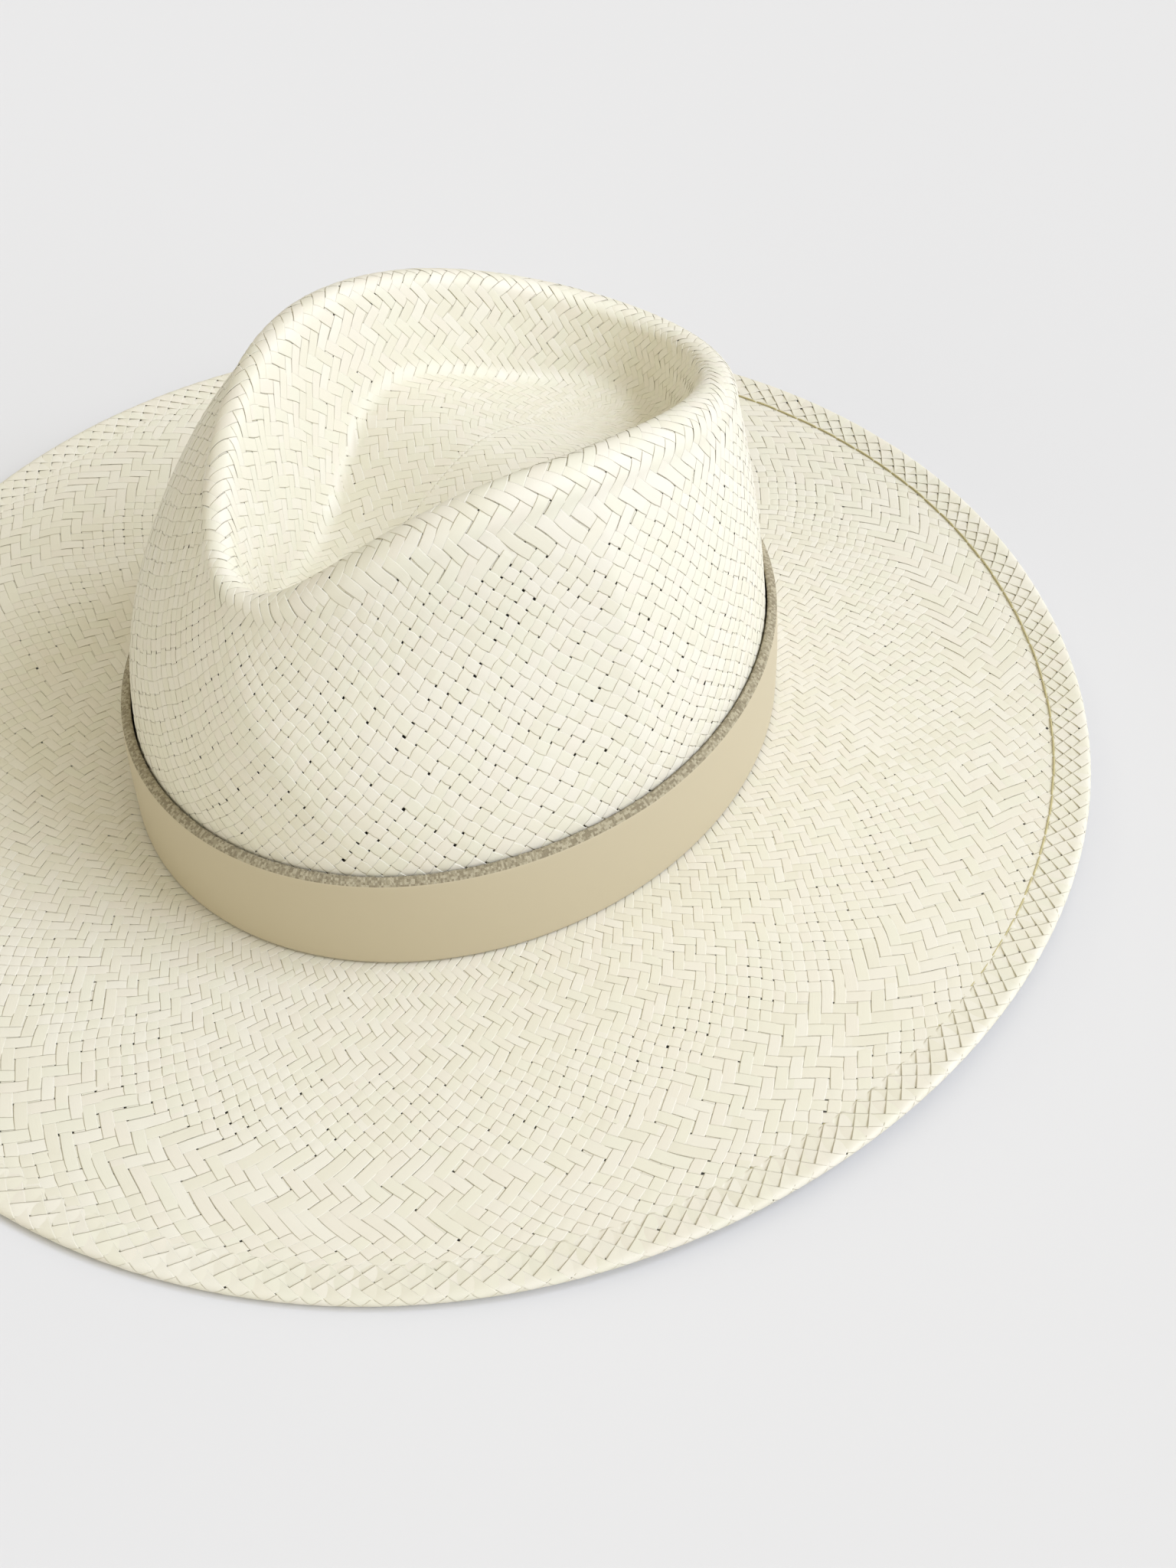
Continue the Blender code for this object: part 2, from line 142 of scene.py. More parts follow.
def crest_point(angle):
    """Ridge round the top of the crown."""
    c, s = np.cos(angle), np.sin(angle)
    half_width = CREST_HALF_WIDTH + CREST_WIDER_BACK * s + CREST_PINCH * s * s
    middle, half_length = (CREST_FRONT + CREST_BACK) / 2.0, (CREST_BACK - CREST_FRONT) / 2.0
    height = (CREST_HEIGHT - FRONT_DROP * ((1.0 - s) / 2.0) ** FRONT_DROP_POWER
              - BACK_DROP * ((1.0 + s) / 2.0) ** BACK_DROP_POWER)
    return stack(c * half_width, middle + half_length * s, height)


def crest_normal(angle):
    along = crest_point(angle + 0.001) - crest_point(angle - 0.001)
    length = np.hypot(along[..., 0], along[..., 1])
    return stack(along[..., 1] / length, -along[..., 0] / length, 0.0)


def nearness(angle, middle, spread):
    """1 at an angle, falling off on both sides of it."""
    turn = np.mod(angle - middle + math.pi, TURN) - math.pi
    return 1.0 / (1.0 + (turn / spread) ** 4)


def crest_radius(angle):
    """Rounding from the side wall to the ridge, tighter at the front tip."""
    return CREST_RADIUS - TIGHTER_BY * nearness(angle, TIGHT_ANGLE, TIGHT_SPREAD)


def pinch(angle, level):
    """Depth of the finger dents at the front of the side walls."""
    front = PINCH_KEEL + PINCH_SLANT * (1.0 - level)
    deepest = PINCH_POWER / (PINCH_POWER + 1.0)
    peak = deepest ** PINCH_POWER * (1.0 - deepest)
    depth = 0.0
    for side, part in ((angle, 1.0), (math.pi - angle, PINCH_LEFT)):
        turn = (side + math.pi) % TURN - math.pi
        share = np.clip((turn - front) / (PINCH_END - front), 0.0, 1.0)
        depth = depth + part * PINCH_DEPTH * share ** PINCH_POWER * (1.0 - share) / peak
    spread = np.where(level > PINCH_LEVEL, PINCH_SPREAD_ABOVE, PINCH_SPREAD_BELOW)
    return depth * np.exp(-((level - PINCH_LEVEL) / spread) ** 2)


def wall_point(angle, level):
    """Side wall from the foot of the crown (0) to below the ridge (1)."""
    normal = crest_normal(angle)
    radius = crest_radius(angle)
    shoulder = crest_point(angle) + radius[..., None] * normal
    shoulder[..., 2] -= radius
    x, y = oval(angle)
    foot = stack(x, y, foot_height(angle) + GAP)
    lean = level ** (WALL_LEAN_POWER + LEFT_FULLER * nearness(angle, FULL_ANGLE, FULL_SPREAD))
    point = foot + (shoulder - foot) * stack(lean, lean, level)
    return point - normal * np.asarray(pinch(angle, level))[..., None]


def wall_at(angle, height, offset=0.0):
    """Side wall at a height over the foot, moved out along the oval."""
    angle, height, offset = np.broadcast_arrays(angle, height, offset)
    rise = crest_point(angle)[..., 2] - crest_radius(angle) - foot_height(angle) - GAP
    point = wall_point(angle, np.maximum(0.0, height) / rise)
    x, y = oval(angle, 1.0)
    x0, y0 = oval(angle)
    point[..., 0] += (x - x0) * offset
    point[..., 1] += (y - y0) * offset
    point[..., 2] = foot_height(angle) + height
    return point


def shoulder_point(angle, turn):
    """Rounding from the side wall to the ridge, turn from 0 to a quarter turn."""
    point = wall_point(angle, np.ones_like(angle * turn))
    radius = crest_radius(angle)
    point = point - crest_normal(angle) * (radius * (1.0 - np.cos(turn)))[..., None]
    point[..., 2] += radius * np.sin(turn)
    return point


def dent_profile(run, depth):
    """Drop at a distance in from the ridge: rounded edge, straight wall, fillet, floor."""
    sine, cosine = math.sin(DENT_WALL_ANGLE), math.cos(DENT_WALL_ANGLE)
    arcs = (DENT_EDGE + DENT_FILLET) * (1.0 - cosine)
    scale = np.minimum(1.0, depth / arcs)
    top, fillet = DENT_EDGE * scale, DENT_FILLET * scale
    straight = np.maximum(0.0, depth - arcs) / sine
    first, second = top * sine, top * sine + straight * cosine
    last = second + fillet * sine
    on_top = top - np.sqrt(np.maximum(0.0, top ** 2 - run ** 2))
    on_wall = top * (1.0 - cosine) + (run - first) * math.tan(DENT_WALL_ANGLE)
    left = last - run
    on_fillet = depth - (fillet - np.sqrt(np.maximum(0.0, fillet ** 2 - left ** 2)))
    return np.where(run < first, on_top,
                    np.where(run < second, on_wall, np.where(run < last, on_fillet, depth)))


def floor_height(y):
    """The dent's floor is highest in the middle and falls to the front and to the back."""
    return (FLOOR_HEIGHT - FRONT_FALL * eased((FLOOR_TOP - y) / FRONT_REACH)
            - BACK_FALL * eased((y - FLOOR_TOP) / BACK_REACH))


def dent_point(angle, share):
    """Inside of the dent from the ridge (0) to its spine (1)."""
    ridge = crest_point(angle) - crest_normal(angle) * pinch(angle, 1.0)[..., None]
    middle, half_length = (SPINE_FRONT + SPINE_BACK) / 2.0, (SPINE_BACK - SPINE_FRONT) / 2.0
    spine = stack(0.0, middle + half_length * np.sin(angle), ridge[..., 2])
    point = ridge + (spine - ridge) * np.asarray(share)[..., None]
    run = share * np.hypot(spine[..., 0] - ridge[..., 0], spine[..., 1] - ridge[..., 1])
    point[..., 2] -= dent_profile(run, ridge[..., 2] - floor_height(point[..., 1]))
    return point


def brim_point(angle, share):
    """Top of the brim sheet, share from the foot of the crown (0) to the rim (1)."""
    width = brim_width(angle)
    x, y = oval(angle, width * share)
    inner = foot_height(angle)
    outer = edge_lift(angle) + HEM_LEAF + GAP + STRAW
    way = np.clip((width * share + BRIM_INNER_STEP)
                  / (width - BRIM_IN_HEM + BRIM_INNER_STEP), 0.0, 1.0)
    return stack(x, y, outer + (inner - outer) * (1.0 - way) ** 2)


# ---- a surface as a grid over angle and row -----------------------------------------------

class Surface:
    """Points and normals on a grid of angles and rows, read between its knots.

    facing is -1 where the rows run outwards on top, so that the normals still look out.
    """

    def __init__(self, points, facing=1.0):
        self.facing = facing
        self.points = points                                  # angle, row, xyz
        self.rows = points.shape[1] - 1
        around = np.roll(points, -1, axis=0) - np.roll(points, 1, axis=0)
        along = np.gradient(points, axis=1)
        normal = np.cross(around, along)
        length = np.linalg.norm(normal, axis=-1, keepdims=True)
        normal = facing * normal / np.maximum(length, 1e-12)
        normal[length[..., 0] < 1e-9] = (0.0, 0.0, 1.0)
        self.normals = normal

    def at(self, angle, way):
        """Point and normal at an angle and a way from 0 to 1 over the rows."""
        count = self.points.shape[0]
        a = (angle / TURN * count) % count
        i = np.floor(a).astype(int) % count
        fa = (a - np.floor(a))[..., None]
        b = np.clip(way, 0.0, 1.0) * self.rows
        j = np.minimum(np.floor(b).astype(int), self.rows - 1)
        fb = (b - j)[..., None]
        k = (i + 1) % count
        out = []
        for grid in (self.points, self.normals):
            low = grid[i, j] * (1 - fa) + grid[k, j] * fa
            high = grid[i, j + 1] * (1 - fa) + grid[k, j + 1] * fa
            out.append(low * (1 - fb) + high * fb)
        normal = out[1] / np.linalg.norm(out[1], axis=-1, keepdims=True)
        return out[0], normal


ANGLES = np.arange(480) * TURN / 480
WALL_POINTS, SHOULDER_POINTS, DENT_POINTS, FLAT_POINTS = 120, 24, 200, 400
ROWS_TO_RIDGE, FEWER_AT_TIPS = 50.0, 6.0      # the ridge is lower in front and behind
BRIM_UNDER_CROWN = 0.009      # the brim's strands start this share of its width inside the foot
# share of the brim's width, millimetres per row there
BRIM_PITCH = ((0.0, 1.95), (0.28, 2.0), (0.5, 2.40), (0.62, 2.4), (0.8, 2.2), (1.0, 2.2))


def resampled(points, rows_at, rows, per_row=4):
    """Grid whose columns are evenly spaced in rows, given each fine point's row number."""
    wanted = np.linspace(0.0, rows, rows * per_row + 1)
    grid = np.empty((points.shape[0], len(wanted), 3))
    for i in range(points.shape[0]):
        for axis in range(3):
            grid[i, :, axis] = np.interp(wanted, rows_at[i], points[i, :, axis])
    return grid


def crown_surface():
    """From the foot over the ridge to the spine of the dent."""
    angle = ANGLES[:, None]
    wall = wall_point(angle, np.linspace(0.0, 1.0, WALL_POINTS)[None, :])
    shoulder = shoulder_point(angle, np.linspace(0.02, math.pi / 2.0, SHOULDER_POINTS)[None, :])
    dent = dent_point(angle, (np.linspace(0.0, 1.0, DENT_POINTS)[1:] ** 1.3)[None, :])
    points = np.concatenate([wall, shoulder, dent], axis=1)
    steps = np.linalg.norm(np.diff(points, axis=1), axis=-1)
    length = np.concatenate([np.zeros((len(ANGLES), 1)), np.cumsum(steps, axis=1)], axis=1)
    ridge = length[:, WALL_POINTS + SHOULDER_POINTS - 1][:, None]
    total = length[:, -1][:, None]
    s = np.sin(ANGLES)[:, None]
    to_ridge = (ROWS_TO_RIDGE - FEWER_AT_TIPS * ((1.0 - s) / 2.0) ** 3
                - FEWER_AT_TIPS * ((1.0 + s) / 2.0) ** 3)
    inside = length - ridge
    pace = to_ridge / ridge
    mean = (CROWN_ROWS - to_ridge) / (total - ridge)
    beyond = to_ridge + pace * inside + (mean - pace) * inside ** 2 / (total - ridge)
    rows_at = np.where(inside < 0.0, length * pace, beyond)
    return Surface(resampled(points, rows_at, CROWN_ROWS)), to_ridge[:, 0]


def brim_surface():
    """From under the crown to where the sheet ends inside the hem."""
    share = np.linspace(-BRIM_UNDER_CROWN, 1.0 - (BRIM_IN_HEM + MM) / BRIM_WIDTH, FLAT_POINTS)
    pitch = np.interp(share, *zip(*BRIM_PITCH)) * MM
    rows_at = np.concatenate([[0.0], np.cumsum(np.diff(share) * BRIM_WIDTH / pitch[1:])])
    rows = int(rows_at[-1])
    rows_at = rows_at * rows / rows_at[-1]
    points = brim_point(ANGLES[:, None], share[None, :])
    table = np.repeat(rows_at[None, :], len(ANGLES), axis=0)
    return Surface(resampled(points, table, rows), facing=-1.0), rows, (share, rows_at)


def hem_surface():
    """Fold round the rim: from its inner edge on top, round the nose, to the one below."""
    lift = edge_lift(ANGLES)[:, None] + HEM_SLACK
    radius = RIM_HEIGHT / 2.0 - HEM_SLACK
    flat = HEM_WIDTH - HEM_INSET - radius
    arc = math.pi * radius
    way = np.linspace(0.0, 2.0 * flat + arc, FLAT_POINTS // 2)[None, :]
    turn = np.clip((way - flat) / radius, 0.0, math.pi)
    inset = (radius * (1.0 - np.sin(turn)) + np.maximum(0.0, flat - way)
             + np.maximum(0.0, way - flat - arc))
    height = radius * (1.0 + np.cos(turn)) + lift
    x, y = oval(ANGLES[:, None], brim_width(ANGLES)[:, None] - HEM_INSET - inset)
    points = stack(x, y, height)
    table = np.repeat(way / way[0, -1] * HEM_ROWS, len(ANGLES), axis=0)
    return Surface(resampled(points, table, HEM_ROWS, per_row=8), facing=-1.0)


# ---- materials ----------------------------------------------------------------------------

def material(name, colour, roughness, coat=0.0, sheen=0.0, metallic=0.0):
    """Principled material whose numbers are set on the shader itself."""
    made = bpy.data.materials.new(name)
    made.use_nodes = True
    shader = made.node_tree.nodes["Principled BSDF"]
    shader.inputs["Base Color"].default_value = (*colour, 1.0)
    shader.inputs["Roughness"].default_value = roughness
    shader.inputs["Coat Weight"].default_value = coat
    shader.inputs["Coat Roughness"].default_value = 0.35
    shader.inputs["Sheen Weight"].default_value = sheen
    shader.inputs["Metallic"].default_value = metallic
    return made


def bumped(made, coordinate, scale, layers, strength, distance):
    """Noise bump: layers are (noise scale, detail, share of the height)."""
    tree = made.node_tree
    nodes, links = tree.nodes, tree.links
    source = nodes.new("ShaderNodeTexCoord")
    mapping = nodes.new("ShaderNodeMapping")
    mapping.inputs["Scale"].default_value = scale
    links.new(source.outputs[coordinate], mapping.inputs["Vector"])
    total = None
    for size, detail, share in layers:
        noise = nodes.new("ShaderNodeTexNoise")
        noise.inputs["Scale"].default_value = size
        noise.inputs["Detail"].default_value = detail
        links.new(mapping.outputs["Vector"], noise.inputs["Vector"])
        part = nodes.new("ShaderNodeMath")
        part.operation = "MULTIPLY"
        part.inputs[1].default_value = share
        links.new(noise.outputs["Fac"], part.inputs[0])
        if total is None:
            total = part
            continue
        added = nodes.new("ShaderNodeMath")
        links.new(total.outputs[0], added.inputs[0])
        links.new(part.outputs[0], added.inputs[1])
        total = added
    bump = nodes.new("ShaderNodeBump")
    bump.inputs["Strength"].default_value = strength
    bump.inputs["Distance"].default_value = distance
    links.new(total.outputs[0], bump.inputs["Height"])
    links.new(bump.outputs["Normal"], nodes["Principled BSDF"].inputs["Normal"])
    return made


# Straw tints: ivory, cream, greenish, pinkish, pale and a little greyer
STRAW_TINTS = (
    (0.782, 0.748, 0.620), (0.782, 0.752, 0.630), (0.774, 0.748, 0.613), (0.782, 0.742, 0.625),
    (0.797, 0.768, 0.655), (0.759, 0.728, 0.595), (0.770, 0.749, 0.617), (0.790, 0.756, 0.643),
)


def straw_materials():
    made = []
    for i, tint in enumerate(STRAW_TINTS):
        straw = material("straw_%d" % i, tint, 0.58, coat=0.06)
        layers = ((1.0, 3.0, 0.6), (0.23, 2.0, 0.4))
        made.append(bumped(straw, "UV", (5200.0, 260.0, 1.0), layers, 0.55, 0.00009))
    return made


# ---- mesh tools ---------------------------------------------------------------------------

def new_mesh(name, points, faces, materials, face_materials=None, uv=None):
    """Mesh from arrays: points (n, 3), faces (m, 4); shifted to the hat's frame."""
    points = points + np.array([0.0, HEAD_SHIFT, 0.0])
    mesh = bpy.data.meshes.new(name)
    faces = np.asarray(faces, dtype=np.int32)
    sides = faces.shape[1]
    mesh.vertices.add(len(points))
    mesh.vertices.foreach_set("co", points.astype(np.float32).ravel())
    mesh.loops.add(faces.size)
    mesh.loops.foreach_set("vertex_index", faces.ravel())
    mesh.polygons.add(len(faces))
    mesh.polygons.foreach_set("loop_start", np.arange(0, faces.size, sides, dtype=np.int32))
    mesh.update(calc_edges=True)
    for made in materials:
        mesh.materials.append(made)
    if face_materials is not None:
        mesh.polygons.foreach_set("material_index", np.asarray(face_materials, dtype=np.int32))
    if uv is not None:
        layer = mesh.uv_layers.new(name="strand")
        layer.data.foreach_set("uv", uv[faces.ravel()].astype(np.float32).ravel())
    mesh.polygons.foreach_set("use_smooth", np.full(len(faces), True))
    mesh.validate()
    piece = bpy.data.objects.new(name, mesh)
    bpy.context.scene.collection.objects.link(piece)
    return piece


def dress(piece, body, slot, *nodes):
    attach(piece, body)
    if nodes:
        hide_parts(*nodes)
    return piece


def smooth_noise(shape, knots, seed):
    """Random values along the last axis, eased between knots."""
    random = np.random.default_rng(seed)
    count = shape[-1]
    total = int(np.ceil(count / knots)) + 2
    values = random.normal(0.0, 1.0, (*shape[:-1], total))
    place = np.arange(count) / knots
    low = np.floor(place).astype(int)
    way = eased(place - low)
    return values[..., low] * (1.0 - way) + values[..., low + 1] * way


# amplitude, waves round the hat, turn per row, phase
DRIFT_ALONG = ((0.30, 3, 0.09, 1.0), (0.22, 7, -0.13, 0.0), (0.10, 19, 0.41, 0.0),
               (0.07, 41, -0.7, 0.0))
DRIFT_ACROSS = ((0.30, 5, 0.17, 0.0), (0.20, 11, -0.23, 2.0), (0.08, 37, 0.6, 0.0))


def ripples(table, angle, row):
    return sum(size * np.sin(waves * angle + twist * row + phase)
               for size, waves, twist, phase in table)


def warp(angle, row, rows, strength):
    """Slow drift of the lattice, so that no row is perfectly even."""
    fade = strength * np.clip(np.minimum(row, rows - row) / DRIFT_FADE_ROWS, 0.0, 1.0)
    return ripples(DRIFT_ACROSS, angle, row) * fade, ripples(DRIFT_ALONG, angle, row) * fade


def over_under(signs, angle, row):
    """Height of the outward-turning family, +1 over and -1 under, eased between rows."""
    low = np.clip(np.floor(row), 0, None)
    way = eased(row - low)
    return signs(angle, low) * (1.0 - way) + signs(angle, low + 1) * way


class Cloth:
    """What weave() needs to know of one woven piece.

    signs(angle, row) says which family is on top at a crossing, width(angle, row) how much
    of its pitch a strand fills and how much narrower it gets where it dives, which opens
    the small holes at the corners, and relief(angle, row) scales the height of the weave.
    depth is how far its middle lies under the surface. The dips bury the strands' ends.
    """

    def __init__(self, name, node, surface, strands, rows, signs, width, relief, seed, groups=3,
                 depth=STRAND_LAYER, start_dip=None, end_dip=0.0, drift=1.0):
        self.name, self.node, self.surface = name, node, surface
        self.strands, self.rows, self.seed, self.groups = strands, rows, seed, groups
        self.signs, self.width, self.relief = signs, width, relief
        self.depth, self.start_dip, self.end_dip, self.drift = depth, start_dip, end_dip, drift
        self.row = np.linspace(0.0, rows, rows * STEPS + 1)

    def dip(self, centre):
        """How far the strands sink near the first and the last row."""
        left = self.rows - self.row
        dip = self.end_dip * np.clip(1.0 - left / END_ROWS, 0.0, 1.0)[None, :] ** 2
        if self.start_dip is None:
            return dip
        return dip + self.start_dip(centre) * np.clip(1.0 - self.row / START_ROWS, 0, 1)[None, :]


def strand_points(cloth, family):
    """Points of all strands of one family: strand, station, side of the profile, xyz."""
    half = math.pi / cloth.strands
    row = cloth.row[None, :]
    shape = (cloth.strands, len(cloth.row))
    seed = cloth.seed + family
    wander = WANDER * smooth_noise(shape, 5 * STEPS, seed)
    wider = 1.0 + UNEVEN_WIDTH * smooth_noise(shape, 4 * STEPS, seed + 10)
    wider = wider * (1.0 + UNEVEN_WIDTH * RANDOM.normal(0, 1, (cloth.strands, 1)))
    lively = 1.0 + UNEVEN_HEIGHT * smooth_noise(shape, 2 * STEPS, seed + 20)
    hollow = np.clip(1.0 + UNEVEN_HOLES * smooth_noise(shape, 3 * STEPS, seed + 30), *HOLE_RANGE)
    centre = 2.0 * half * np.arange(cloth.strands)[:, None] + family * half * row
    everywhere = row + 0.0 * centre
    crossing = over_under(cloth.signs, centre, everywhere)
    strength = cloth.relief(centre, row)
    height = family * crossing * lively * np.clip(cloth.rows - row, 0.0, 1.0)
    height = height * HEIGHT_OF_WAVE * strength
    full, narrowing = cloth.width(centre, everywhere)
    fill = full * wider - narrowing * hollow * (1.0 - crossing ** 2)
    sunk = cloth.depth + cloth.dip(centre)
    points = np.empty((*shape, len(PROFILE), 3))
    for side, (across, up) in enumerate(PROFILE):
        lateral = 0.5 * fill * across + wander
        angle = centre + lateral * half
        at_row = row - family * lateral
        shift_angle, shift_row = warp(angle, at_row, cloth.rows, cloth.drift)
        spot, normal = cloth.surface.at(angle + shift_angle * half,
                                        (at_row + shift_row) / cloth.rows)
        off = height + up * MM * (strength if up > BACK_LIMIT else 1.0) - sunk
        points[:, :, side] = spot + normal * off[..., None]
    return points


def strand_uv(chosen, row, order):
    """Across and along each strand in metres, each strand at a place of its own."""
    across = np.array([PROFILE[i][0] for i in order]) * STRAND_HALF_WIDTH
    uv = np.empty((len(chosen), len(row), len(order), 2))
    uv[..., 0] = across[None, None, :] + (chosen * 0.0371 % 1.0)[:, None, None]
    uv[..., 1] = (row * ROW_LENGTH)[None, :, None] + (chosen * 0.173 % 1.0)[:, None, None]
    return uv.reshape(-1, 2)


def strand_piece(cloth, family, group, points, tints, materials):
    """One object from a group of neighbouring strands."""
    stations, sides = len(cloth.row), len(PROFILE)
    # wound so that the faces look out for both families
    order = list(range(sides))
    if family * cloth.surface.facing > 0:
        order.reverse()
    step = math.ceil(cloth.strands / cloth.groups)
    chosen = np.arange(group * step, min(cloth.strands, (group + 1) * step))
    base = (np.arange(len(chosen))[:, None, None] * stations
            + np.arange(stations - 1)[None, :, None]) * sides
    here = base + np.arange(sides)[None, None, :]
    beside = base + (np.arange(sides)[None, None, :] + 1) % sides
    faces = np.stack([here, beside, beside + sides, here + sides], axis=-1)
    face_tints = np.repeat(tints[chosen][:, :-1, None], sides, axis=2)
    caps = strand_caps(len(chosen), stations, sides)
    name = "%s_%s_%d" % (cloth.name, "out" if family > 0 else "in", group)
    piece = new_mesh(name, points[chosen][:, :, order].reshape(-1, 3),
                     np.concatenate([faces.reshape(-1, 4), caps]), materials,
                     np.concatenate([face_tints.ravel(), np.zeros(len(caps), dtype=int)]),
                     strand_uv(chosen, cloth.row, order))
    return dress(piece, "hat", "straw", cloth.node)


def weave(cloth, materials):
    """Two families of thin ribbons that cross each other."""
    for family in (1, -1):
        points = strand_points(cloth, family)
        tints = strand_tints(cloth.strands, len(cloth.row), cloth.seed + family)
        for group in range(cloth.groups):
            strand_piece(cloth, family, group, points, tints, materials)


def strand_caps(count, stations, sides):
    """Two quads at each end of each strand; a sliver under them stays open, out of sight."""
    caps = []
    for strand in range(count):
        for station, turn in ((0, 1), (stations - 1, -1)):
            base = (strand * stations + station) * sides
            for ring in ((0, 1, 2, 6), (2, 3, 5, 6)):
                caps.append([base + i for i in ring[::turn]])
    return np.array(caps)


def strand_tints(strands, stations, seed):
    """One tint per strand, with a change here and there where the weaver joined a new one."""
    random = np.random.default_rng(seed + 100)
    count = len(STRAW_TINTS)
    tints = np.repeat(random.integers(0, count, (strands, 1)), stations, axis=1)
    for strand in range(strands):
        at = 0
        while at < stations:
            at += int(random.integers(5, 30)) * STEPS
            tints[strand, at:] = random.integers(0, count)
    return tints


# ---- crown, brim and hem ------------------------------------------------------------------

FILL, CLOSED = 0.995, 0.02        # a strand's width in pitches, and its narrowing in twill
BRIM_RINGS = (0.39, 0.61, 0.80)   # shares of the width where twill and plain weave change
TWILL_LEAST, TWILL_MORE = 1.5, 6.5      # rows of twill outside the ridge, most at an angle
TWILL_MOST_ANGLE, TWILL_POWER = 0.5, 1.3


def plain(row):
    return np.where(np.mod(row, 2) < 1, 1.0, -1.0)


def twill(row):
    return np.where(np.mod(row, 4) < 2, 1.0, -1.0)


def build_crown(materials):
    """Plain weave on the wall, twill round the ridge and in the dent, calm in its hollow."""
    surface, to_ridge = crown_surface()

    def ridge_row(angle):
        return np.interp(np.mod(angle, TURN), np.append(ANGLES, TURN),
                         np.append(to_ridge, to_ridge[0]))

    def edge_of_twill(angle):
        facing = (1.0 + np.cos(angle - TWILL_MOST_ANGLE)) / 2.0
        wide = TWILL_LEAST + TWILL_MORE * facing ** TWILL_POWER
        return ridge_row(angle) - wide + 1.0 * np.sin(9 * angle) * np.sin(4 * angle + 1)

    def signs(angle, row):
        return np.where(row < edge_of_twill(angle), plain(row), twill(row))

    def width(angle, row):
        loose = 0.085 + 0.02 * np.sin(5 * angle + 0.2 * row) * np.sin(0.31 * row)
        return FILL, np.where(row < edge_of_twill(angle), loose, CLOSED)

    def relief(angle, row):
        inside = row - ridge_row(angle)
        left = eased((inside - 3.0) / 3.0) * nearness(angle, CALM_ANGLE, 1.0)
        on_floor = eased((inside - 10.0) / 4.0)
        return 1.1 - np.maximum(0.8 * left, 0.7 * on_floor)

    weave(Cloth("crown_straw", "crown", surface, CROWN_STRANDS, CROWN_ROWS, signs, width,
                relief, 11), materials)


def build_brim(materials):
    """Rings of twill and plain weave."""
    surface, rows, (share, rows_at) = brim_surface()
    plain_from, twill_from, plain_again = np.interp(BRIM_RINGS, share, rows_at)

    def signs(angle, row):
        edge = 1.2 * np.sin(7 * angle) * np.sin(3 * angle)
        closed = (row < plain_from + edge) | ((row > twill_from - edge)
                                              & (row < plain_again + edge))
        return np.where(closed, twill(row), plain(row))

    def width(angle, row):
        closed = (row < plain_from) | ((row > twill_from) & (row < plain_again))
        loose = 0.06 + 0.04 * np.sin(6 * angle + 0.3 * row) * np.sin(4 * angle)
        return FILL, np.where(closed, CLOSED, loose)

    def relief(angle, row):
        return 0.95 - 0.25 * nearness(angle, 0.2, 1.0) + 0.0 * row

    weave(Cloth("brim_straw", "brim", surface, BRIM_STRANDS, rows, signs, width, relief, 31),
          materials)


# the arc over which the hem's thread lies sunk out of sight
HIDDEN_MIDDLE, HIDDEN_HALF, HIDDEN_SHARPNESS = -TURN / 4.0 - 0.25, 2.15, 7.0


def away_from_right(angle):
    """1 over the front and the left of the brim, 0 on its back right, eased between."""
    turn = np.mod(angle - HIDDEN_MIDDLE + math.pi, TURN) - math.pi
    return 1.0 / (1.0 + np.exp((np.abs(turn) - HIDDEN_HALF) * HIDDEN_SHARPNESS))


def pressed(angle):
    """How far the hem's inner edge sinks towards the brim."""
    return (1.08 + 0.04 * away_from_right(angle)) * MM


def build_hem(materials):
    """Plain weave over the fold: flatter on the right, with open corners at the back right."""
    def signs(angle, row):
        return plain(row)

    def width(angle, row):
        rough = np.exp(-((row - 1.7) / 0.6) ** 2)
        return FILL, 0.01 + 0.04 * rough * (1.0 - away_from_right(angle)) + 0.0 * angle

    def relief(angle, row):
        return 0.75 - 0.35 * nearness(angle, 0.5, 1.4) + 0.0 * row

    weave(Cloth("hem_straw", "brim_edge_hem", hem_surface(), BRIM_STRANDS, HEM_ROWS, signs,
                width, relief, 51, groups=1, depth=0.26 * MM, start_dip=pressed,
                end_dip=0.2 * MM, drift=0.8), materials)


# ---- sheets, tubes ------------------------------------------------------------------------

def closed_sheet(name, outer, inner, materials, closed=True, tint=None):
    """Closed body between two grids of points with the same shape (rows, columns)."""
    rows, columns = outer.shape[:2]
    points = np.concatenate([outer.reshape(-1, 3), inner.reshape(-1, 3)])
    half = rows * columns
    faces, tints = [], []
    last = columns if closed else columns - 1
    for i in range(rows - 1):
        for j in range(last):
            k = (j + 1) % columns
            a, b = i * columns + j, i * columns + k
            c, d = (i + 1) * columns + k, (i + 1) * columns + j
            faces.append((a, b, c, d))
            faces.append((half + d, half + c, half + b, half + a))
            shade = tint(i, j) if tint else 0
            tints += [shade, shade]
    for j in range(last):
        k = (j + 1) % columns
        top = (rows - 1) * columns
        faces.append((half + j, half + k, k, j))
        faces.append((top + j, top + k, half + top + k, half + top + j))
        tints += [tint(0, j) if tint else 0, tint(rows - 2, j) if tint else 0]
    if not closed:
        for i in range(rows - 1):
            a, d = i * columns, (i + 1) * columns
            b, c = a + columns - 1, d + columns - 1
            faces.append((a, d, half + d, half + a))
            faces.append((b, half + b, half + c, c))
            tints += [0, 0]
    return new_mesh(name, points, faces, materials, tints)


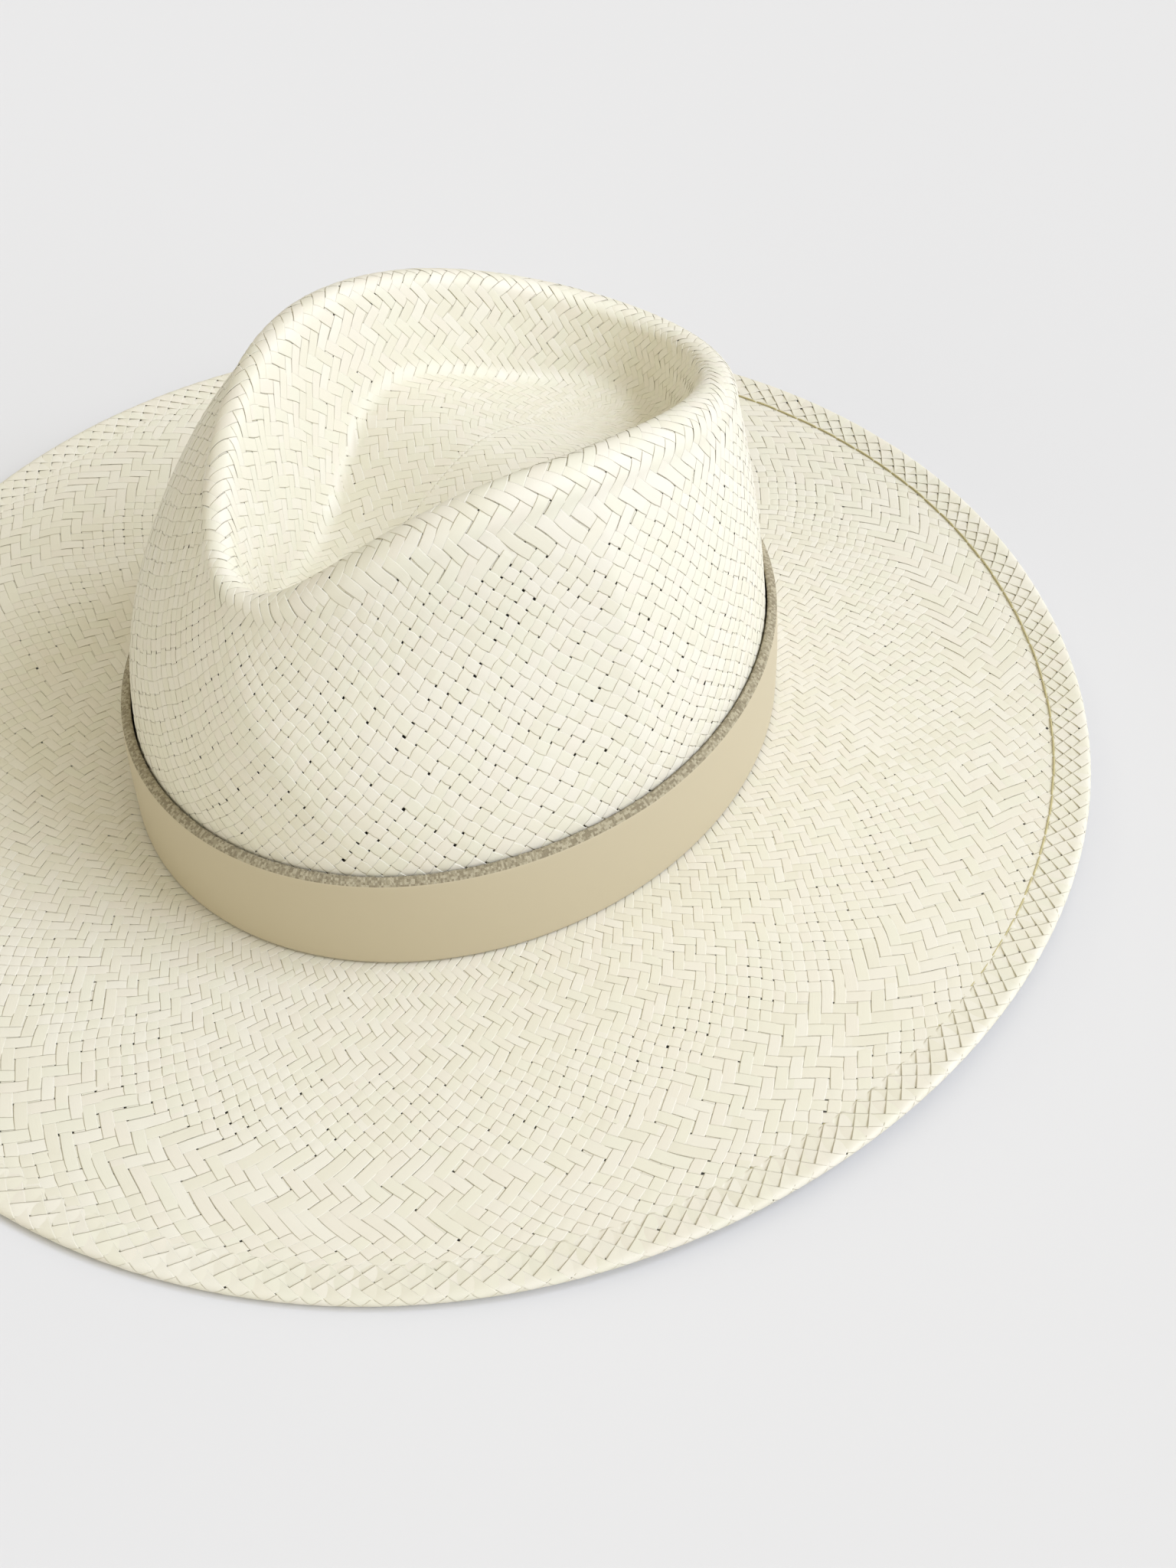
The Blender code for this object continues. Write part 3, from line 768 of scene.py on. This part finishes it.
def tube(name, line, radius, made, sides=8):
    """Closed tube along a line of points."""
    along = np.gradient(line, axis=0)
    along /= np.linalg.norm(along, axis=1, keepdims=True)
    up = np.array([0.0, 0.0, 1.0])
    side = np.cross(along, up)
    side /= np.maximum(np.linalg.norm(side, axis=1, keepdims=True), 1e-9)
    lift = np.cross(side, along)
    turn = np.arange(sides) * TURN / sides
    ring = (side[:, None] * np.cos(turn)[None, :, None]
            + lift[:, None] * np.sin(turn)[None, :, None])
    points = (line[:, None] + ring * radius).reshape(-1, 3)
    count = len(line)
    faces = []
    for i in range(count - 1):
        j = i + 1
        for k in range(sides):
            m = (k + 1) % sides
            faces.append((i * sides + k, j * sides + k, j * sides + m, i * sides + m))
    for i, turned in ((0, 1), (count - 1, -1)):
        base = i * sides
        for k in range(0, sides - 2, 2):
            quad = [base, base + k + 1, base + k + 2, base + (k + 3) % sides]
            if len(set(quad)) == 4:
                faces.append(tuple(quad[::turned]))
    return new_mesh(name, points, faces, [made])


def joined(name, pieces):
    """Joins loose meshes into one object."""
    bpy.ops.object.select_all(action="DESELECT")
    for piece in pieces:
        piece.select_set(True)
    bpy.context.view_layer.objects.active = pieces[0]
    bpy.ops.object.join()
    pieces[0].name = name
    pieces[0].data.name = name
    return pieces[0]


# ---- band ---------------------------------------------------------------------------------

def band_step(share):
    """How far the strip's far end stands out to pass over its near end."""
    lap_share = BAND_LAP / (TURN + BAND_LAP)
    return (BAND_THICKNESS + GAP) * eased((share - (1.0 - 2.0 * lap_share)) / lap_share)


SUEDE_TINTS = (0.28, 0.24, 0.155), (0.36, 0.315, 0.21), (0.46, 0.41, 0.285)
BAND_COLUMNS = 1100
# shares of the thickness in from the outer face, and of the height up the strip
BAND_SECTION = ((0.10, 0.000), (0.02, 0.004), (0.0, 0.012), (0.0, 0.05), (0.0, 0.25),
                (0.0, 0.5), (0.0, 0.75), (0.0, 0.92), (0.005, 0.952), (0.03, 0.962),
                (0.14, 0.974), (0.32, 0.985), (0.55, 0.994), (0.78, 0.999), (1.0, 0.990))
FIRST_SUEDE_ROW = 9               # the section is raw suede from this point on
RAW_FROM, RAW_UNEVEN = 0.97, 0.00007
BACK_STOPS_AT = 0.985             # the back face ends at this share of the height


def build_band(leather, suedes):
    """Leather strip: smooth outer face with an eased foot, raw suede over the top edge."""
    share = np.linspace(0.0, 1.0, BAND_COLUMNS)
    angle = BAND_LAP_ANGLE + (TURN + BAND_LAP) * share
    step = band_step(share)
    rough = smooth_noise((5, BAND_COLUMNS), 1, 5)
    outer, inner = [], []
    for n, (depth, up) in enumerate(BAND_SECTION):
        uneven = RAW_UNEVEN * rough[n % 5] if up > RAW_FROM else 0.0
        if depth > 0.1 and up > 0.5:
            out = BAND_EDGE_GAP + (BAND_CLEARANCE + BAND_THICKNESS - BAND_EDGE_GAP) * (1.0 - depth)
        else:
            out = BAND_CLEARANCE + BAND_THICKNESS * (1.0 - depth)
        out = out + step
        leaning = BAND_CLEARANCE - (BAND_CLEARANCE - BAND_EDGE_GAP) * max(0.0, up * 4.0 - 3.0)
        outer.append(wall_at(angle, BAND_LIFT_GAP + BAND_HEIGHT * up + uneven, out))
        inner.append(wall_at(angle, BAND_LIFT_GAP + BAND_HEIGHT * min(BACK_STOPS_AT, up),
                             leaning + step))
    grain = np.random.default_rng(7).integers(1, 4, (len(BAND_SECTION), BAND_COLUMNS))

    def tint(i, j):
        return int(grain[i, j]) if i >= FIRST_SUEDE_ROW else 0

    band = closed_sheet("band_leather", np.array(outer), np.array(inner), [leather, *suedes],
                        closed=False, tint=tint)
    return dress(band, "band", "band_leather", "hat_band")


LAP_STITCHES, LAP_STITCH_LENGTH, LAP_THREAD_RADIUS = 8, 0.0026, 0.00026


def build_lap_stitches(thread):
    """One row of stitches up the lap of the strip."""
    pieces = []
    angle = BAND_LAP_ANGLE + BAND_LAP * 0.7
    out = BAND_CLEARANCE + 2.0 * BAND_THICKNESS + 2.0 * GAP
    for i in range(LAP_STITCHES):
        low = BAND_LIFT_GAP + BAND_HEIGHT * (0.10 + 0.1 * i)
        way = np.linspace(0.0, 1.0, 9)
        bow = np.sqrt(np.sin(way * math.pi)) * 0.00035
        line = wall_at(np.full(9, angle), low + way * LAP_STITCH_LENGTH, out + bow - 0.0001)
        pieces.append(tube("stitch", line, LAP_THREAD_RADIUS, thread))
    return dress(joined("band_stitches", pieces), "band", "thread", "band_lap_stitching")


# ---- inside -------------------------------------------------------------------------------

def inner_point(angle, height, clearance):
    """Point inside the crown, a clearance in from the straw."""
    return wall_at(angle, height, -STRAW - clearance)


def build_sweatband(leather):
    """Leather strip round the inside, with eased edges."""
    angle = np.arange(240) * TURN / 240
    section = ((0.25, 0.0), (0.0, 0.012), (0.0, 0.2), (0.0, 0.4), (0.0, 0.6), (0.0, 0.8),
               (0.0, 0.985), (0.3, 1.0))
    outer, inner = [], []
    for depth, up in section:
        height = SWEATBAND_HEIGHT * up - SWEATBAND_FOOT
        thin = SWEATBAND_THICKNESS * depth
        outer.append(inner_point(angle, height, SWEATBAND_CLEARANCE + thin))
        inner.append(inner_point(angle, height, SWEATBAND_CLEARANCE + SWEATBAND_THICKNESS - thin))
    band = closed_sheet("sweatband_leather", np.array(outer), np.array(inner), [leather])
    return dress(band, "hat", "sweatband_leather", "sweatband")


RIB_COLUMNS, RIB_HEIGHT = 720, 0.03 * MM


def build_reed_cover(cloth):
    """Ribbon wrapped round the reed, ribbed across."""
    angle = np.arange(RIB_COLUMNS) * TURN / RIB_COLUMNS
    centre = PIPING_THICKNESS + 2.0 * GAP + REED_RADIUS
    base = SWEATBAND_CLEARANCE + SWEATBAND_THICKNESS
    rib = RIB_HEIGHT * np.where(np.arange(RIB_COLUMNS) % 2 == 0, 1.0, -1.0)
    outer, inner = [], []
    for turn in np.radians(np.linspace(165.0, 375.0, 15)):
        for made, radius in ((inner, REED_RADIUS + 0.4 * GAP),
                             (outer, REED_RADIUS + GAP + PIPING_THICKNESS * 0.9 + rib)):
            row = inner_point(angle, REED_HEIGHT, base + centre - radius * math.cos(turn))
            row[:, 2] += radius * math.sin(turn)
            made.append(row)
    cover = closed_sheet("reed_ribbon", np.array(outer), np.array(inner), [cloth])
    return dress(cover, "hat", "ribbon", "reed_cover")


SEAM_STITCHES, SEAM_STITCH_SHARE, SEAM_THREAD_RADIUS = 150, 0.72, 0.22 * MM


def build_inner_stitches(thread):
    """Seam that holds the sweatband, above its reed."""
    pieces = []
    base = SWEATBAND_CLEARANCE + SWEATBAND_THICKNESS
    way = np.linspace(0.0, 1.0, 7)
    for i in range(SEAM_STITCHES):
        angle = TURN * (i + SEAM_STITCH_SHARE * way) / SEAM_STITCHES
        depth = base - 0.00006 + 0.0003 * np.sqrt(np.sin(way * math.pi) + 1e-9)
        line = inner_point(angle, SEAM_HEIGHT, depth)
        pieces.append(tube("stitch", line, SEAM_THREAD_RADIUS, thread, sides=6))
    return dress(joined("sweatband_seam", pieces), "hat", "thread", "sweatband_stitching")


BOW_HEIGHT, KNOT_HALF_ANGLE = 15.0 * MM, 0.02
LOOP_ANGLE, TAIL_ANGLE = 0.145, 0.10


def build_bow(ribbon):
    """Flat bow: two loops, a knot over the middle and two short tails."""
    base = SWEATBAND_CLEARANCE + SWEATBAND_THICKNESS + GAP
    middle = math.pi / 2.0
    pieces = []
    for side in (-1.0, 1.0):
        for tail in (False, True):
            across = np.linspace(0.0, 1.0, 15)
            rows_out, rows_in = [], []
            for up in np.linspace(-1.0, 1.0, 7):
                if tail:
                    height = BOW_HEIGHT - 0.0046 * across + up * (0.0009 + 0.0014 * across)
                    turn = TAIL_ANGLE
                    out = 0.0001 + 0.0 * across
                else:
                    height = BOW_HEIGHT + up * (0.0012 + 0.0040 * across ** 0.7)
                    turn = LOOP_ANGLE
                    out = 0.0004 + 0.0007 * np.sin(across * math.pi) + 0.0 * up
                angle = middle + side * across * turn
                rows_out.append(inner_point(angle, height, base + out))
                rows_in.append(inner_point(angle, height, base + out + 0.0003))
            outer, inner = np.array(rows_out), np.array(rows_in)
            if side > 0:
                outer, inner = inner, outer
            pieces.append(closed_sheet("loop", outer, inner, [ribbon], closed=False))
    rows_out, rows_in = [], []
    for up in np.linspace(-1.0, 1.0, 7):
        angle = middle + np.linspace(-KNOT_HALF_ANGLE, KNOT_HALF_ANGLE, 9)
        puff = 0.0006 * np.cos(np.linspace(-1.4, 1.4, 9))
        rows_out.append(inner_point(angle, BOW_HEIGHT + 0.0026 * up, base + 0.0002))
        rows_in.append(inner_point(angle, BOW_HEIGHT + 0.0026 * up, base + 0.0008 + puff))
    pieces.append(closed_sheet("knot", np.array(rows_in), np.array(rows_out), [ribbon],
                               closed=False))
    return dress(joined("bow_ribbon", pieces), "hat", "ribbon", "sweatband_bow")


TAB_MIDDLE, TAB_ANGLE = math.radians(150.0), 0.16
TAB_FOOT, TAB_HEIGHT = 10.0 * MM, 14.0 * MM


def build_size_tab(ribbon):
    """Blank cloth tab on the inside of the sweatband."""
    base = SWEATBAND_CLEARANCE + SWEATBAND_THICKNESS + GAP
    angle = TAB_MIDDLE + TAB_ANGLE * (np.linspace(0.0, 1.0, 13) - 0.5)
    outer, inner = [], []
    for up in np.linspace(0.0, 1.0, 9):
        bow = 0.0002 * math.sin(up * math.pi)
        outer.append(inner_point(angle, TAB_FOOT + TAB_HEIGHT * up, base + bow))
        inner.append(inner_point(angle, TAB_FOOT + TAB_HEIGHT * up, base + 0.0005 + bow))
    tab = closed_sheet("tab_cloth", np.array(outer), np.array(inner), [ribbon], closed=False)
    return dress(tab, "hat", "ribbon", "size_tab")


# ---- hem stitching ------------------------------------------------------------------------

HEM_STITCHES, HEM_STITCH_SHARE, HEM_THREAD_RADIUS = 134, 0.95, 0.27 * MM
# millimetres from the top of the brim: the thread's ends, its rise between, and how far sunk
HEM_THREAD_LOW, HEM_THREAD_RISE, HEM_THREAD_SUNK = -0.32, 0.27, 0.70


def build_hem_thread(thread):
    """Running stitch along the hem's inner edge, out of sight except at the back right."""
    pieces = []
    way = np.linspace(0.0, 1.0, 13)
    for i in range(HEM_STITCHES):
        angle = TURN * (i + HEM_STITCH_SHARE * way) / HEM_STITCHES
        inset = HEM_WIDTH + 0.25 * MM + 0.08 * MM * math.sin(i * 2.4)
        width = brim_width(angle)
        line = brim_point(angle, (width - inset) / width)
        bow = np.clip(np.sin(way * math.pi) * 3.0, 0.0, 1.0)
        sunk = HEM_THREAD_SUNK * away_from_right(angle)
        line[:, 2] += (HEM_THREAD_LOW + HEM_THREAD_RISE * bow - sunk) * MM
        pieces.append(tube("stitch", line, HEM_THREAD_RADIUS, thread, sides=6))
    return dress(joined("hem_thread", pieces), "hat", "thread", "hem_stitching")


# ---- studio -------------------------------------------------------------------------------

WORLD_STRENGTH = 0.37
WARM, COOL = (1.0, 0.945, 0.80), (1.0, 1.11, 1.42)
# name, turn from the front towards the hat's +X side, elevation, strength, spread, colour
LAMPS = (("key", 142.0, 47.0, 0.55, 14.0, COOL), ("main", 115.0, 40.0, 0.93, 24.0, COOL),
         ("broad", 140.0, 40.0, 1.55, 120.0, WARM), ("front", 350.0, 16.0, 0.84, 60.0, WARM),
         ("low", 92.0, 18.0, 0.22, 40.0, COOL))
FLOOR_HALF, FLOOR_DROP = 6.0, 0.2 * MM
PAPER = (0.74, 0.74, 0.745)
LENS, SENSOR_WIDTH = 59.87, 36.0
CAMERA_X, CAMERA_Y, CAMERA_Z = 0.30779, -0.28507, 0.43007      # before the shift of the head
CAMERA_TILT, CAMERA_TURN = math.radians(42.14), math.radians(41.94)


def build_studio():
    """Floor of pale paper, even sky light and the lamps."""
    mesh = bpy.data.meshes.new("floor")
    size = FLOOR_HALF
    mesh.from_pydata([(-size, -size, 0), (size, -size, 0), (size, size, 0), (-size, size, 0)],
                     [], [(0, 1, 2, 3)])
    floor = bpy.data.objects.new("floor", mesh)
    floor.location.z = -FLOOR_DROP
    bpy.context.scene.collection.objects.link(floor)
    paper = material("floor_paper", PAPER, 0.9)
    paper.node_tree.nodes["Principled BSDF"].inputs["Specular IOR Level"].default_value = 0.0
    mesh.materials.append(paper)
    world = bpy.data.worlds.new("studio")
    bpy.context.scene.world = world
    world.use_nodes = True
    sky = world.node_tree.nodes["Background"]
    sky.inputs["Color"].default_value = (*WARM, 1.0)
    sky.inputs["Strength"].default_value = WORLD_STRENGTH
    for lamp in LAMPS:
        add_sun(*lamp)


def add_sun(name, azimuth, elevation, strength, spread, colour):
    light = bpy.data.lights.new(name, "SUN")
    light.energy = strength
    light.color = colour
    light.angle = math.radians(spread)
    lamp = bpy.data.objects.new(name, light)
    lamp.rotation_euler = (math.radians(90.0 - elevation), 0.0, math.radians(azimuth))
    bpy.context.scene.collection.objects.link(lamp)
    return lamp


def build_camera():
    data = bpy.data.cameras.new("camera")
    data.sensor_fit = "HORIZONTAL"
    data.sensor_width = SENSOR_WIDTH
    data.lens = LENS
    data.clip_start = 0.01
    camera = bpy.data.objects.new("camera", data)
    camera.location = (CAMERA_X, CAMERA_Y + HEAD_SHIFT, CAMERA_Z)
    camera.rotation_euler = (CAMERA_TILT, 0.0, CAMERA_TURN)
    bpy.context.scene.collection.objects.link(camera)
    bpy.context.scene.camera = camera


def main():
    bpy.context.scene.view_settings.view_transform = "Standard"
    straws = straw_materials()
    leather = bumped(material("band_leather", (0.547, 0.477, 0.327), 0.44, coat=0.1),
                     "Object", (1.0, 1.0, 1.0), ((1500.0, 3.0, 0.7), (220.0, 2.0, 0.3)),
                     0.25, 0.00008)
    suedes = [bumped(material("raw_edge_%d" % i, colour, 0.95, sheen=0.1),
                     "Object", (1.0, 1.0, 1.0), ((1500.0, 2.0, 0.6), (3500.0, 2.0, 0.4)),
                     1.0, 0.0006) for i, colour in enumerate(SUEDE_TINTS)]
    lining = bumped(material("sweatband_leather", (0.60, 0.51, 0.36), 0.6),
                    "Object", (1.0, 1.0, 1.0), ((900.0, 3.0, 1.0),), 0.4, 0.0001)
    ribbon = bumped(material("ribbon", (0.72, 0.66, 0.52), 0.8, sheen=0.2),
                    "Object", (1.0, 1.0, 1.0), ((2500.0, 2.0, 1.0),), 0.5, 0.0001)
    thread = bumped(material("thread", (0.56, 0.50, 0.265), 0.85),
                    "Object", (1.0, 1.0, 1.0), ((4000.0, 2.0, 1.0),), 0.8, 0.0001)
    plastic = bumped(material("reed_plastic", (0.75, 0.74, 0.70), 0.4),
                     "Object", (1.0, 1.0, 1.0), ((1200.0, 1.0, 1.0),), 0.1, 0.00005)
    steel = bumped(material("steel_wire", (0.6, 0.6, 0.6), 0.3, metallic=1.0),
                   "Object", (1.0, 1.0, 1.0), ((2000.0, 1.0, 1.0),), 0.1, 0.00005)
    build_crown(straws)
    build_brim(straws)
    build_hem(straws)
    build_hem_thread(thread)
    build_band(leather, suedes)
    build_lap_stitches(thread)
    build_sweatband(lining)
    build_reed_cover(ribbon)
    build_inner_stitches(thread)
    build_bow(ribbon)
    build_size_tab(ribbon)
    for node, made in (("sweatband_reed", plastic), ("brim_edge_wire", steel)):
        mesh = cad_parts[node].data
        mesh.materials.clear()
        mesh.materials.append(made)
    build_studio()
    build_camera()


main()
